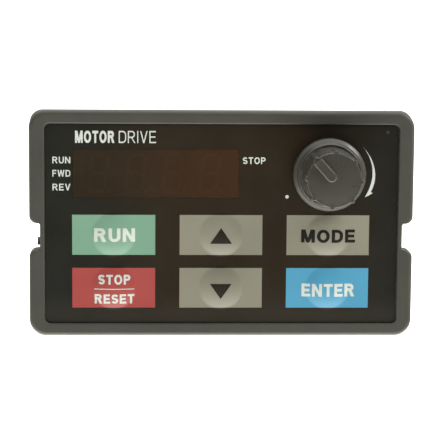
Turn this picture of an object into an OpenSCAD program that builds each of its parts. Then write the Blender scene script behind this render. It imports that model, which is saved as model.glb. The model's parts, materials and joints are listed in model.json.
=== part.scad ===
// Operator keypad of a variable frequency drive: a shallow two-piece housing with a printed membrane
// face, six embossed keys over tactile switches, a four-digit display and a speed knob on a potentiometer.
// Frame, in millimetres: X to the right, Z up, and the face looks along -Y.
// The origin is the centre of the bezel, in the plane of its flange's rear seat (Y 0).

/* [Face] */
// Width of the bezel
bezel_w = 72.8; // [72.4:0.1:78]
// Height of the bezel
bezel_h = 42.9; // [42.6:0.1:48]
// Height of the rim above the flange seat
rim_t = 4.0; // [3.8:0.1:5]
// Width of the bezel's border beside the printed face
side_border = 3.0; // [2.6:0.1:3.4]
// Width of the bezel's border above and below the printed face
top_border = 2.5; // [2.2:0.1:3]

/* [Keys] */
// Distance between key columns
key_pitch_x = 20.32; // [19:0.01:20.6]
// Distance between key rows
key_pitch_z = 10.16; // [9.6:0.01:10.4]
// Height of the upper key row's centre
key_row_z = -2.05; // [-2.3:0.05:-1.8]
// Sideways offset of the key columns from the bezel's centre
key_shift_x = -0.12; // [-0.3:0.02:0.3]
// Radius of the embossed dome of a key
dome_r = 4.1; // [3.6:0.05:4.3]
// Height of the dome above the printed face
dome_h = 0.55; // [0.45:0.01:0.7]
// How far a key travels
key_travel = 0.25; // [0.15:0.01:0.3]

/* [Display] */
// Width of the display window
window_w = 31.4; // [30.8:0.1:32]
// Height of the display window
window_h = 9.25; // [8.6:0.05:9.4]
// Distance between digits
digit_pitch = 7.0; // [6.4:0.1:7.2]
// Height of a digit
digit_h = 7.6; // [6.5:0.1:7.8]

/* [Knob] */
// Radius of the knob's skirt
skirt_r = 6.88; // [6.6:0.02:7.2]
// Radius of the knob's grip at its front end
grip_r = 5.05; // [4.9:0.05:5.2]
// Length of the knob from its base to its front face
knob_l = 11.0; // [10:0.1:13]
// Number of grip ribs
rib_count = 8; // [6:1:12]
// Direction of the pointer, anticlockwise from +X as seen from the front
pointer_angle = 131.5; // [90:0.5:180]

/* [Housing] */
// Distance from the flange seat to the rear face
body_depth = 14.8; // [14.6:0.1:18]
// Wall thickness of the housing
wall = 1.6; // [1.4:0.1:1.8]
// Distance between the two threaded inserts in the rear face
insert_pitch = 45.72; // [44:0.01:48]

/* [Hidden] */
$fn = 64;
eps = 0.01; // overcut that keeps a cut from ending on a face

// Levels along Y, from the front to the rear
rim_y = -rim_t;
recess_depth = 0.7;
floor_y = rim_y + recess_depth; // floor of the recess that holds the overlay
overlay_t = 0.25;
face_y = floor_y - overlay_t; // front of the printed face
plate_t = 1.5;
plate_y = floor_y + plate_t; // rear of the face plate
board_y = 4.2;
board_t = 1.6;
board_rear_y = board_y + board_t;
joint_y = 7.5; // parting line between the bezel and the rear cover
rear_y = body_depth;

// Outlines
bezel_r = 3.0;
rim_chamfer = 0.8;
overlay_w = bezel_w - 2 * side_border;
overlay_h = bezel_h - 2 * top_border;
overlay_r = 0.9;
recess_gap = 0.1;
seat_w = 2.8; // width of the flange around the body
body_w = bezel_w - 2 * seat_w;
body_h = bezel_h - 2 * seat_w;
body_r = 2.0;
cavity_w = body_w - 2 * wall;
cavity_h = body_h - 2 * wall;
cavity_r = 1.0;
board_gap = 0.3;
board_w = cavity_w - 2 * board_gap;
board_h = cavity_h - 2 * board_gap;

// Grip notches in the sides of the flange
notch_z = -2.4;
notch_h = 5.0;
notch_d = 2.0;
notch_flare = 1.4;
notch_corner = 0.4;
nib_z = -3.6; // small locating nib on the floor of the left notch
nib_y = -0.2;
nib_reach = 0.55;
nib_size = 1.4;

// Lip of the rear cover, inside the bezel
lip_t = 0.9;
lip_l = 1.2;
lip_gap = 0.05;
lip_root = 1.0; // how far the lip runs back inside the cover before it joins the wall

// Keys and switches
key_x = [for (i = [-1:1]) key_shift_x + i * key_pitch_x];
key_z = [key_row_z, key_row_z - key_pitch_z];
key_places = [for (x = key_x, z = key_z) [x, z]];
dome_gap = 0.05; // clearance between a key and its hole in the overlay
dome_shoulder_r = dome_r - 0.5;
dome_crown = 0.25; // how far the crown rises above the shoulder
key_hole_r = dome_r + 0.3;
plunger_r = 1.75;
plunger_gap = 0.1; // between a plunger's tip and the crown of its key
collar_r = 2.3;
collar_y = 1.05;
collar_t = 0.7;
switch_w = 6.0;
switch_base_y = 1.0; // front of a switch base
switch_cover_t = 0.3;
switch_floor_y = 3.2;
switch_well_r = 2.5;
switch_bore_r = plunger_r + 0.1;
snap_t = 0.1;
snap_r = 2.3;
snap_h = switch_floor_y - collar_y - collar_t - key_travel; // so the plunger meets it at full travel
lead_t = 0.2;
lead_w = 0.7;
lead_foot = 1.2;
lead_rise = 1.6;
lead_z = 2.25;

// Display
window_x = -12.5;
window_z = 9.65;
window_lip = 0.4; // how far the window's rear flange reaches past its front part
window_flange_t = 0.4;
window_gap = 0.1;
module_w = 30.6;
module_h = 9.8;
module_y = floor_y + window_flange_t + window_gap;
digit_w = 3.8;
digit_slant = 7;
stroke = 0.75;
segment_gap = 0.12;
segment_t = 0.5;
point_r = 0.42;
point_gap = 0.9; // from a digit's lower right corner to its decimal point
digit_x = [for (i = [0:3]) window_x - 0.3 + (i - 1.5) * digit_pitch];
lamp_w = 1.0;
lamp_h = 1.8;
lamp_pitch = 2.54;
lamp_x = 14.0; // from the module's centre to the column of three lamps
stop_lamp_x = 14.6; // from the module's centre to the single lamp on its right
lamp_places = [
    for (j = [-1, 0, 1]) [window_x - lamp_x, window_z + j * lamp_pitch],
    [window_x + stop_lamp_x, window_z + lamp_pitch]
];
display_pin_pitch = 5.08;
display_pin_z = 3.81;
display_pin_root = 1.0; // length of a pin inside the module
display_pin_places = [
    for (i = [0:5], j = [-1, 1]) [window_x + (i - 2.5) * display_pin_pitch, window_z + j * display_pin_z]
];
pin_r = 0.25;
pin_tail = 1.0; // length of a soldered pin behind the board
pin_hole_r = 0.4;

// Potentiometer
pot_x = key_x[2];
pot_z = 9.7;
pot_w = 9.8;
pot_h = 11.0;
pot_front_y = -0.6;
pot_plate_t = 0.6;
pot_well_r = 4.2;
pot_floor_y = 3.4;
bushing_r = 3.5;
bushing_y = -4.9;
bushing_gap = 0.25;
shaft_r = 3.0;
shaft_gap = 0.05; // running clearance in the bushing
shaft_tip_y = -13.0;
flat_depth = 0.5; // of the D on the shaft
flat_l = 7.5;
rotor_r = 3.9;
rotor_y = -0.5;
rotor_t = 1.3;
pivot_r = 1.0;
pivot_gap = 0.1;
track_t = 0.5;
track_gap = 1.0; // width of the gap between the track's ends
wiper_t = 0.2;
wiper_r = 3.6;
wiper_finger_r = 0.3;
wiper_reach = [2.0, 3.1];
wiper_gap = 0.02;
terminal_w = 1.0;
terminal_t = 0.5;
terminal_y = 2.2;
terminal_drop = 1.7; // from the underside of the housing to the pin
terminal_pitch = 2.5;
terminal_places = [for (i = [-1:1]) [pot_x + i * terminal_pitch, pot_z - pot_h / 2 - terminal_drop]];

// Knob
knob_base_y = face_y - 0.55;
skirt_l = 0.9;
skirt_round = 0.35;
cone_r = 5.85; // radius of the skirt's front edge
cone_l = 3.2;
groove_depth = 0.35; // of the groove between skirt and grip
grip_base_r = 5.45;
knob_edge = 0.35;
rib_r = 0.45;
rib_start = 2.0; // inside the skirt
rib_end = knob_l - knob_edge - 0.1;
pointer_w = 1.7;
pointer_h = 0.35;
knob_hollow_r = bushing_r + 0.4;
knob_hollow_l = 1.4;
bore_gap = 0.02;
bore_end_gap = 0.3;

// Fastenings
screw_x = cavity_w / 2 - 2.2;
screw_z = cavity_h / 2 - 2.1;
screw_places = [for (x = [-screw_x, screw_x], z = [-screw_z, screw_z]) [x, z]];
boss_r = 1.8;
screw_core_r = 0.8;
screw_shank_r = 0.9;
screw_hole_r = 1.05;
screw_head_r = 1.9;
screw_head_t = 1.3;
screw_tip_y = -0.6;
screw_run_out = 0.6;
slot_l = 2.2;
slot_w = 0.4;
slot_depth = 0.8;
counterbore_r = 2.1;
counterbore_y = rear_y - 3.0;
post_r = 3.0;
post_gap = 0.02;
insert_places = [for (i = [-1, 1]) [i * insert_pitch / 2, 0]];
insert_r = 2.1;
insert_bore_r = 1.25;
insert_l = 5.0;
insert_boss_r = 3.3;
insert_boss_l = insert_l + 1.4;

// Parts on the rear of the board
chip_x = 18.5;
chip_z = 10.0;
chip_w = 12.8;
chip_h = 7.5;
chip_t = 2.3;
chip_leads = 10; // on each side
chip_pitch = 1.27;
gull_w = 0.4;
gull_t = 0.2;
gull_foot = 1.0;
gull_rise = 1.1;
driver_z = 11.6;
driver_pitch = 5.08;
resistor_w = 1.25;
resistor_l = 2.0;
resistor_t = 0.55;
resistor_pitch = 2.54;
resistor_rows = [8.4, 2.6];
resistor_start_x = -23.0;
capacitor_t = 0.9;
capacitor_places = [[4.6, 11.6], [4.6, 8.4], [9.2, 6.2], [9.2, 13.8]];
can_x = 5.8;
can_z = 1.6;
can_r = 2.5;
can_base = 5.3;
can_base_t = 0.8;
can_l = 5.6;
resonator_x = 15.2;
resonator_z = -2.6;
resonator_w = 6.6;
resonator_h = 2.6;
resonator_t = 2.2;

// Rear connector
header_w = 20.3;
header_h = 8.9;
header_wall = 1.2;
header_floor = 2.0;
header_gap = 0.25;
header_z = -7.0;
header_key_w = 4.5; // width of the polarising gap in the upper wall
header_pitch = 2.54;
header_pin = 0.64;
header_pin_tail = 0.6;
header_pin_recess = 1.4;
header_places = [
    for (i = [-2:2], j = [-1, 1]) [i * header_pitch, header_z + j * header_pitch / 2]
];

// Colours
shell_grey = "dimgray";
ink_black = [0.13, 0.12, 0.11];
nylon_black = [0.1, 0.1, 0.1];
chip_black = [0.16, 0.16, 0.17];
tin = [0.75, 0.75, 0.77];
steel = [0.66, 0.67, 0.69];
brass = [0.78, 0.62, 0.28];

// ---- Shared shapes ----

// Places the children at (x, z) with their own Z pointing out of the face and their Y up
module on_face(x, z, y = 0) translate([x, y, z]) rotate([90, 0, 0]) children();

// Extrudes a flat shape, drawn as (X, Z), from y_front to y_rear
module slab(y_front, y_rear) on_face(0, 0, y_rear) linear_extrude(y_rear - y_front) children();

// A cylinder along Y at the place p
module rod(p, y_front, y_rear, r) on_face(p[0], p[1], y_rear) cylinder(r = r, h = y_rear - y_front);

module box_at(p, w, h) translate(p) square([w, h], center = true);

// A rectangular block at the place p, from y_front to y_rear
module block(p, w, h, y_front, y_rear) slab(y_front, y_rear) box_at(p, w, h);

module rounded_rect(w, h, r) {
    square([w - 2 * r, h], center = true);
    square([w, h - 2 * r], center = true);
    for (x = [-1, 1], z = [-1, 1])
        translate([x * (w / 2 - r), z * (h / 2 - r)]) circle(r);
}

// ---- Housing ----

// The grip notch in the right side: straight floor, small inner corners and a flared mouth
module notch_2d() {
    inner_x = bezel_w / 2 - notch_d;
    flare_x = bezel_w / 2 - notch_flare;
    translate([inner_x + notch_corner, notch_z - notch_h / 2]) square([notch_d, notch_h]);
    translate([inner_x, notch_z - notch_h / 2 + notch_corner])
        square([notch_d, notch_h - 2 * notch_corner]);
    for (s = [-1, 1]) {
        translate([inner_x + notch_corner, notch_z + s * (notch_h / 2 - notch_corner)])
            circle(notch_corner);
        difference() {
            box_at([bezel_w / 2 - notch_flare / 2 + eps, notch_z + s * (notch_h + notch_flare) / 2],
                notch_flare + 2 * eps, notch_flare + eps);
            translate([flare_x, notch_z + s * (notch_h / 2 + notch_flare)]) circle(notch_flare);
        }
    }
}

module flange() {
    slab(rim_y + rim_chamfer, 0) rounded_rect(bezel_w, bezel_h, bezel_r);
    hull() {
        slab(rim_y + rim_chamfer, rim_y + rim_chamfer + eps)
            rounded_rect(bezel_w, bezel_h, bezel_r, $fn = 32);
        slab(rim_y, rim_y + eps)
            rounded_rect(bezel_w - rim_chamfer, bezel_h - rim_chamfer, bezel_r - rim_chamfer / 2, $fn = 32);
    }
}

module bezel_shell() difference() {
    union() {
        flange();
        slab(-eps, joint_y) rounded_rect(body_w, body_h, body_r);
    }
    slab(rim_y - eps, floor_y)
        rounded_rect(overlay_w + 2 * recess_gap, overlay_h + 2 * recess_gap, overlay_r + recess_gap);
    slab(plate_y, joint_y + eps) rounded_rect(cavity_w, cavity_h, cavity_r);
    block([window_x, window_z], window_w + 2 * (window_lip + window_gap),
        window_h + 2 * (window_lip + window_gap), floor_y - eps, plate_y + eps);
    for (p = key_places) rod(p, floor_y - eps, plate_y + eps, key_hole_r);
    rod([pot_x, pot_z], floor_y - eps, plate_y + eps, bushing_r + bushing_gap);
    for (side = [0, 1]) slab(rim_y - eps, eps) mirror([side, 0]) notch_2d();
}

module front_bezel() color(shell_grey) {
    bezel_shell();
    for (p = screw_places) difference() {
        rod(p, plate_y - eps, board_y, boss_r);
        rod(p, screw_tip_y - screw_run_out, board_y + eps, screw_core_r);
    }
    translate([-bezel_w / 2 + notch_d - nib_reach, nib_y - nib_size, nib_z - nib_size / 2])
        cube([nib_reach + eps, nib_size, nib_size]);
}

// A closed band around the inside of the housing, one lip thick
module lip_ring(outer_w, outer_h, r) difference() {
    rounded_rect(outer_w, outer_h, r);
    rounded_rect(cavity_w - 2 * lip_t, cavity_h - 2 * lip_t, cavity_r - lip_gap);
}

module cover_shell() {
    difference() {
        slab(joint_y, rear_y) rounded_rect(body_w, body_h, body_r);
        slab(joint_y - eps, rear_y - wall) rounded_rect(cavity_w, cavity_h, cavity_r);
    }
    slab(joint_y - lip_l, joint_y + lip_root)
        lip_ring(cavity_w - 2 * lip_gap, cavity_h - 2 * lip_gap, cavity_r - lip_gap);
    slab(joint_y + lip_root - eps, joint_y + 2 * lip_root)
        lip_ring(cavity_w + eps, cavity_h + eps, cavity_r);
}

module rear_cover() color(shell_grey) difference() {
    union() {
        cover_shell();
        intersection() {
            for (p = screw_places) rod(p, board_rear_y + post_gap, rear_y - wall + eps, post_r);
            slab(board_rear_y, rear_y)
                rounded_rect(cavity_w - 2 * lip_gap, cavity_h - 2 * lip_gap, cavity_r - lip_gap);
        }
        for (p = insert_places) rod(p, rear_y - insert_boss_l, rear_y - wall + eps, insert_boss_r);
    }
    for (p = screw_places) {
        rod(p, board_rear_y - eps, rear_y, screw_hole_r);
        rod(p, counterbore_y, rear_y + eps, counterbore_r);
    }
    for (p = insert_places) rod(p, rear_y - insert_l, rear_y + eps, insert_r);
    block([0, header_z], header_w + 2 * header_gap, header_h + 2 * header_gap,
        rear_y - wall - eps, rear_y + eps);
}

// ---- Printed face and keys ----

module overlay_sheet() color(ink_black) slab(face_y, floor_y) difference() {
    rounded_rect(overlay_w, overlay_h, overlay_r);
    box_at([window_x, window_z], window_w, window_h);
    for (p = key_places) translate(p) circle(dome_r + dome_gap);
    translate([pot_x, pot_z]) circle(bushing_r + 2 * bushing_gap);
}

module display_window() color([0.24, 0.12, 0.08, 0.75]) {
    block([window_x, window_z], window_w, window_h, face_y, floor_y + eps);
    block([window_x, window_z], window_w + 2 * window_lip, window_h + 2 * window_lip,
        floor_y, floor_y + window_flange_t);
}

// How far the outer skin drops from the crown at radius r: a shallow crown, then a rounded shoulder
function skin_drop(r) = r < dome_shoulder_r
    ? dome_crown * pow(r / dome_shoulder_r, 2)
    : dome_crown + (dome_h - dome_crown) * (1 - cos(90 * (r - dome_shoulder_r) / (dome_r - dome_shoulder_r)));

// A round dome of the overlay's own thickness, as one embossed key
module key_cap(x, z, shade) {
    crown_radii = [for (i = [0:4]) dome_shoulder_r * i / 4];
    shoulder_radii = [for (i = [1:3]) dome_shoulder_r + (dome_r - dome_shoulder_r) * i / 3];
    radii = concat(crown_radii, shoulder_radii);
    outer = [for (r = radii) [r, overlay_t + dome_h - skin_drop(r)]];
    inner = [for (i = [len(radii) - 1:-1:0]) [radii[i], dome_h - skin_drop(radii[i])]];
    color(shade) on_face(x, z, floor_y) rotate_extrude() polygon(concat(outer, inner));
}

// ---- Tactile switches ----

module plunger(x, z) color(nylon_black) {
    rod([x, z], face_y - dome_h + overlay_t + plunger_gap, collar_y + eps, plunger_r);
    rod([x, z], collar_y, collar_y + collar_t, collar_r);
}

module switch_bases() color(nylon_black) for (p = key_places) difference() {
    block(p, switch_w, switch_w, switch_base_y, board_y);
    rod(p, switch_base_y - eps, switch_floor_y, switch_well_r);
}

module switch_covers() color(steel) for (p = key_places) difference() {
    block(p, switch_w, switch_w, switch_base_y - switch_cover_t, switch_base_y);
    rod(p, switch_base_y - switch_cover_t - eps, switch_base_y + eps, switch_bore_r);
}

// Surface-mount leads: each one comes down the side of the base and ends in a foot on the board
module switch_leads() color(tin) for (p = key_places, s = [-1, 1], z = [-lead_z, lead_z]) {
    riser_x = p[0] + s * (switch_w + lead_t) / 2;
    foot_x = p[0] + s * (switch_w + lead_foot) / 2;
    block([riser_x, p[1] + z], lead_t, lead_w, board_y - lead_rise, board_y);
    block([foot_x, p[1] + z], lead_foot, lead_w, board_y - lead_t, board_y);
}

// Sprung steel discs whose rims stand on the floor of each switch well
module snap_domes() color(steel) for (p = key_places) on_face(p[0], p[1], switch_floor_y) {
    steps = [for (i = [0:5]) i / 5];
    outer = [for (t = steps) [snap_r * t, snap_h * (1 - t * t)]];
    inner = [for (t = steps) [(snap_r - snap_t) * (1 - t), (snap_h - snap_t) * (1 - pow(1 - t, 2))]];
    rotate_extrude() polygon(concat(outer, inner));
}

// ---- Display ----

// One bar of a digit, of length l, with mitred ends
module bar(l) polygon([
    [-l / 2, 0], [-l / 2 + stroke / 2, stroke / 2], [l / 2 - stroke / 2, stroke / 2],
    [l / 2, 0], [l / 2 - stroke / 2, -stroke / 2], [-l / 2 + stroke / 2, -stroke / 2]
]);

// Seven bars and a decimal point, leaning to the right about the digit's middle
module digit_2d() {
    arm = digit_w - stroke;
    leg = (digit_h - stroke) / 2;
    lean = tan(digit_slant);
    for (j = [-1:1]) translate([j * leg * lean, j * leg]) bar(arm - segment_gap);
    for (i = [-1, 1], j = [-1, 1])
        translate([i * arm / 2 + j * leg / 2 * lean, j * leg / 2])
            rotate(90 - digit_slant) bar(leg - segment_gap);
    translate([arm / 2 + point_gap - leg * lean, -leg]) circle(point_r, $fn = 32);
}

module digits_2d() for (x = digit_x) translate([x, window_z]) digit_2d();

module lamps_2d() for (p = lamp_places) box_at(p, lamp_w, lamp_h);

module display_module() color([0.2, 0.2, 0.2]) difference() {
    block([window_x, window_z], module_w, module_h, module_y, board_y);
    slab(module_y - eps, module_y + segment_t) digits_2d();
    slab(module_y - eps, module_y + segment_t) lamps_2d();
    for (p = display_pin_places) rod(p, board_y - display_pin_root, board_y + eps, pin_r);
}

module digit_segments() color([0.85, 0.84, 0.8]) slab(module_y, module_y + segment_t) digits_2d();

module indicator_lamps() color([0.8, 0.45, 0.4]) slab(module_y, module_y + segment_t) lamps_2d();

module display_pins() color(tin) for (p = display_pin_places)
    rod(p, board_y - display_pin_root, board_rear_y + pin_tail, pin_r);

// ---- Potentiometer ----

module pot_housing() color([0.12, 0.2, 0.32]) difference() {
    block([pot_x, pot_z], pot_w, pot_h, pot_front_y, board_y);
    rod([pot_x, pot_z], pot_front_y - eps, pot_floor_y, pot_well_r);
}

module pot_bushing() color(steel) difference() {
    union() {
        block([pot_x, pot_z], pot_w, pot_h, pot_front_y - pot_plate_t, pot_front_y);
        rod([pot_x, pot_z], bushing_y, pot_front_y - pot_plate_t + eps, bushing_r);
    }
    rod([pot_x, pot_z], bushing_y - eps, pot_front_y + eps, shaft_r + shaft_gap);
}

// A disc of resistive film on its carrier, with a groove between the two ends of the film
module pot_track() color([0.2, 0.17, 0.15]) on_face(pot_x, pot_z, pot_floor_y) difference() {
    cylinder(r = pot_well_r - shaft_gap, h = track_t);
    translate([0, 0, -eps]) cylinder(r = pivot_r + pivot_gap, h = track_t + 2 * eps);
    translate([-track_gap / 2, -pot_well_r, track_t / 2])
        cube([track_gap, pot_well_r - 2 * pivot_r, track_t]);
}

// Flat strips that come out under the potentiometer and turn back through the board
module pot_terminals() color(tin) for (p = terminal_places) {
    block([p[0], p[1] + terminal_drop / 2 - pin_r / 2], terminal_w, terminal_drop + pin_r,
        terminal_y, terminal_y + terminal_t);
    rod(p, terminal_y, board_rear_y + pin_tail, pin_r);
}

// Turns the children's +X to the pointer's direction, with their Z pointing out of the face from Y 0
module along_pointer() on_face(pot_x, pot_z) rotate(pointer_angle) children();

// The part of a round bar of radius r that a D flat removes, seen along the shaft
module flat_cut(r, depth) along_pointer()
    translate([-2 * r, -2 * r, -shaft_tip_y - flat_l]) cube([4 * r, r + depth, 2 * flat_l]);

// Rotor disc, shaft and tail pivot in one piece, with a D flat where the knob grips it
module pot_shaft() color(steel) difference() {
    union() {
        rod([pot_x, pot_z], shaft_tip_y, rotor_y + eps, shaft_r);
        rod([pot_x, pot_z], rotor_y, rotor_y + rotor_t, rotor_r);
        rod([pot_x, pot_z], rotor_y + rotor_t - eps, pot_floor_y - pivot_gap, pivot_r);
    }
    flat_cut(shaft_r, flat_depth);
}

module pot_wiper() color(brass) {
    ring_y = rotor_y + rotor_t;
    tip_y = pot_floor_y - track_t - wiper_gap;
    difference() {
        rod([pot_x, pot_z], ring_y, ring_y + wiper_t, wiper_r);
        rod([pot_x, pot_z], ring_y - eps, ring_y + wiper_t + eps, pivot_r + shaft_gap);
    }
    along_pointer() for (r = wiper_reach)
        translate([r, 0, -tip_y]) cylinder(r = wiper_finger_r, h = tip_y - ring_y - wiper_t + eps);
}

// ---- Knob ----

module knob_profile() polygon([
    [knob_hollow_r, 0], [skirt_r, 0], [skirt_r, skirt_l], [skirt_r - skirt_round, skirt_l + skirt_round],
    [cone_r, cone_l], [grip_base_r, cone_l - groove_depth], [grip_r, knob_l - knob_edge], [grip_r - knob_edge, knob_l], [0, knob_l],
    [0, knob_hollow_l], [knob_hollow_r, knob_hollow_l]
]);

module knob_body() along_pointer() translate([0, 0, -knob_base_y]) {
    rotate_extrude() knob_profile();
    for (i = [0:rib_count - 1]) rotate(i * 360 / rib_count)
        translate([grip_r, 0, rib_start]) cylinder(r = rib_r, h = rib_end - rib_start);
    translate([pointer_w / 2, 0, knob_l - eps]) linear_extrude(pointer_h + eps) {
        circle(pointer_w / 2);
        translate([0, -pointer_w / 2]) square([grip_r - pointer_w / 2 - knob_edge, pointer_w]);
    }
}

module speed_knob() color([0.3, 0.3, 0.29]) difference() {
    knob_body();
    difference() {
        rod([pot_x, pot_z], shaft_tip_y - bore_end_gap, knob_base_y, shaft_r + bore_gap);
        flat_cut(shaft_r, flat_depth - bore_gap);
    }
}

// ---- Circuit board and its parts ----

module circuit_board() color("darkgreen") slab(board_y, board_rear_y) difference() {
    rounded_rect(board_w, board_h, cavity_r);
    for (p = screw_places) translate(p) circle(screw_hole_r);
    for (p = concat(display_pin_places, terminal_places)) translate(p) circle(pin_hole_r, $fn = 16);
    for (p = header_places) translate(p) circle(header_pin * 0.8, $fn = 16);
}

// A block of thickness t that stands on the rear of the board
module rear_block(x, z, w, h, t) block([x, z], w, h, board_rear_y, board_rear_y + t);

module controller_chip() color(chip_black) rear_block(chip_x, chip_z, chip_w, chip_h, chip_t);

module controller_leads() color(tin) for (i = [0:chip_leads - 1], s = [-1, 1]) {
    x = chip_x + (i - (chip_leads - 1) / 2) * chip_pitch;
    rear_block(x, chip_z + s * (chip_h + gull_t) / 2, gull_w, gull_t, gull_rise);
    rear_block(x, chip_z + s * (chip_h + gull_foot) / 2, gull_w, gull_foot, gull_t);
}

module digit_drivers() color(chip_black) for (i = [0:3])
    rear_block(window_x + (i - 1.5) * driver_pitch, driver_z, 2.9, 1.4, 1.0);

module chip_resistors() color(chip_black) for (i = [0:7], z = resistor_rows)
    rear_block(resistor_start_x + i * resistor_pitch, z, resistor_w, resistor_l, resistor_t);

module chip_capacitors() color([0.72, 0.6, 0.42]) for (p = capacitor_places)
    rear_block(p[0], p[1], resistor_w, resistor_l, capacitor_t);

module smoothing_capacitor() color([0.8, 0.8, 0.82]) {
    rear_block(can_x, can_z, can_base, can_base, can_base_t);
    rod([can_x, can_z], board_rear_y + can_base_t - eps, board_rear_y + can_l, can_r);
}

module clock_resonator() color([0.8, 0.55, 0.2])
    rear_block(resonator_x, resonator_z, resonator_w, resonator_h, resonator_t);

// ---- Rear connector ----

module connector_shroud() color(nylon_black) difference() {
    block([0, header_z], header_w, header_h, board_rear_y, rear_y);
    block([0, header_z], header_w - 2 * header_wall, header_h - 2 * header_wall,
        board_rear_y + header_floor, rear_y + eps);
    block([0, header_z + header_h / 2], header_key_w, 2 * header_wall + eps,
        board_rear_y + header_floor, rear_y + eps);
    for (p = header_places)
        block(p, header_pin, header_pin, board_rear_y - eps, board_rear_y + header_floor + eps);
}

module connector_pins() color(brass) for (p = header_places)
    block(p, header_pin, header_pin, board_y - header_pin_tail, rear_y - header_pin_recess);

// ---- Fastenings ----

module threaded_inserts() color(brass) for (p = insert_places) difference() {
    rod(p, rear_y - insert_l, rear_y, insert_r);
    rod(p, rear_y - insert_l - eps, rear_y + eps, insert_bore_r);
}

// Pan-head screws with a cross recess, which clamp the cover and the board to the bezel's bosses
module cover_screws() color(steel) for (p = screw_places) difference() {
    union() {
        rod(p, screw_tip_y, board_y + eps, screw_core_r);
        rod(p, board_y, counterbore_y + eps, screw_shank_r);
        rod(p, counterbore_y, counterbore_y + screw_head_t, screw_head_r);
    }
    for (s = [[slot_l, slot_w], [slot_w, slot_l]])
        block(p, s[0], s[1], counterbore_y + screw_head_t - slot_depth, counterbore_y + screw_head_t + eps);
}

// ---- The assembly ----

front_bezel();
rear_cover();
overlay_sheet();
display_window();
key_cap(key_x[0], key_z[0], "mediumseagreen");  // run_key
key_cap(key_x[0], key_z[1], "indianred");  // stop_reset_key
key_cap(key_x[1], key_z[0], "darkgray");  // up_key
key_cap(key_x[1], key_z[1], "darkgray");  // down_key
key_cap(key_x[2], key_z[0], "darkgray");  // mode_key
key_cap(key_x[2], key_z[1], "steelblue");  // enter_key
plunger(key_x[0], key_z[0]);  // run_plunger
plunger(key_x[0], key_z[1]);  // stop_reset_plunger
plunger(key_x[1], key_z[0]);  // up_plunger
plunger(key_x[1], key_z[1]);  // down_plunger
plunger(key_x[2], key_z[0]);  // mode_plunger
plunger(key_x[2], key_z[1]);  // enter_plunger
switch_bases();
switch_covers();
switch_leads();
snap_domes();
circuit_board();
display_module();
digit_segments();
indicator_lamps();
display_pins();
pot_housing();
pot_bushing();
pot_track();
pot_terminals();
pot_shaft();
pot_wiper();
speed_knob();
controller_chip();
controller_leads();
digit_drivers();
chip_resistors();
chip_capacitors();
smoothing_capacitor();
clock_resonator();
connector_shroud();
connector_pins();
threaded_inserts();
cover_screws();
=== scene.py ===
import json
import math
from functools import lru_cache

import bmesh
import bpy
from mathutils import Matrix, Vector
from mathutils.geometry import delaunay_2d_cdt

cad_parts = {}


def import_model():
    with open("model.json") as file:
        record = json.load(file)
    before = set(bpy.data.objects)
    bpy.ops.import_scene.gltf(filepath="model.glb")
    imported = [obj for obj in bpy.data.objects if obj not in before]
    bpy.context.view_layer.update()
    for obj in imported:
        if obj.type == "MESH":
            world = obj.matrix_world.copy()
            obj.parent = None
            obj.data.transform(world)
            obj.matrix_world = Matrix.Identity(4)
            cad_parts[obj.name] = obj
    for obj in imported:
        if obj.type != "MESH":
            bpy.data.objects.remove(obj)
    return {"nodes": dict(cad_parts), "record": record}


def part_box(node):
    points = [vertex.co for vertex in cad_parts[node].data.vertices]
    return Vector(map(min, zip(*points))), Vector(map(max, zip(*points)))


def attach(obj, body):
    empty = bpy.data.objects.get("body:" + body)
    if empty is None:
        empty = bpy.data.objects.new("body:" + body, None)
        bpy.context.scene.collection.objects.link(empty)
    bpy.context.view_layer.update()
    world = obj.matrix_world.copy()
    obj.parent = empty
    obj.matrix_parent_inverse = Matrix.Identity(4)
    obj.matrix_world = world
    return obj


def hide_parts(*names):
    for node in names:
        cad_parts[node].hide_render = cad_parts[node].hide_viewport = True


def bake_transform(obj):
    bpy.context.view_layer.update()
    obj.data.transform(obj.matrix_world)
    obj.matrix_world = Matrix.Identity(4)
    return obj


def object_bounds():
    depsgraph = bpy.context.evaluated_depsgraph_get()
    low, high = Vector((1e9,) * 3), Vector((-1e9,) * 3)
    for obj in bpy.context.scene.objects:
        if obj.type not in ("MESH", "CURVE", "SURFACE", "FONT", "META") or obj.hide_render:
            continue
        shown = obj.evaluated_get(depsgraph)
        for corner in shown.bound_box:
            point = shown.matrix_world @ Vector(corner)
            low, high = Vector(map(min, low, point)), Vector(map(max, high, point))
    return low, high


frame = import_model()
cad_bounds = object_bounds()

# Meshes are drawn in millimetres, in the CAD frame: X right, Z up, the face looks along -Y.
MM = 0.001


@lru_cache(maxsize=None)
def box(node):
    """Lowest and highest corner of a CAD node, in millimetres."""
    low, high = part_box(node)
    return low / MM, high / MM


def middle(node):
    low, high = box(node)
    return (low + high) / 2


# ---- Places and sizes, from the frame ----

bezel_low, bezel_high = box("front_bezel")
cover_low, cover_high = box("rear_cover")
overlay_low, overlay_high = box("overlay_sheet")
window_low, window_high = box("display_window")
knob_low, knob_high = box("speed_knob")

BEZEL_W = bezel_high.x - bezel_low.x
BEZEL_H = bezel_high.z - bezel_low.z
RIM_Y = bezel_low.y
JOINT_Y = bezel_high.y
REAR_Y = cover_high.y
BODY_W = cover_high.x - cover_low.x
BODY_H = cover_high.z - cover_low.z
FACE_Y = overlay_low.y
FLOOR_Y = overlay_high.y
OVERLAY_W = overlay_high.x - overlay_low.x
OVERLAY_H = overlay_high.z - overlay_low.z
WINDOW_W = window_high.x - window_low.x
WINDOW_H = window_high.z - window_low.z
BOARD_FRONT_Y = box("circuit_board")[0].y
BOARD_REAR_Y = box("circuit_board")[1].y

# Meshes
CORNER_STEPS = 10  # points along each rounded corner of an outline
ROUND_STEPS = 48  # sides of a turned solid
OVERCUT = 0.5  # how far a cutting tool passes the surface it opens
SINK = 0.2  # how far a solid starts inside the one that it is fused to

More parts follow.
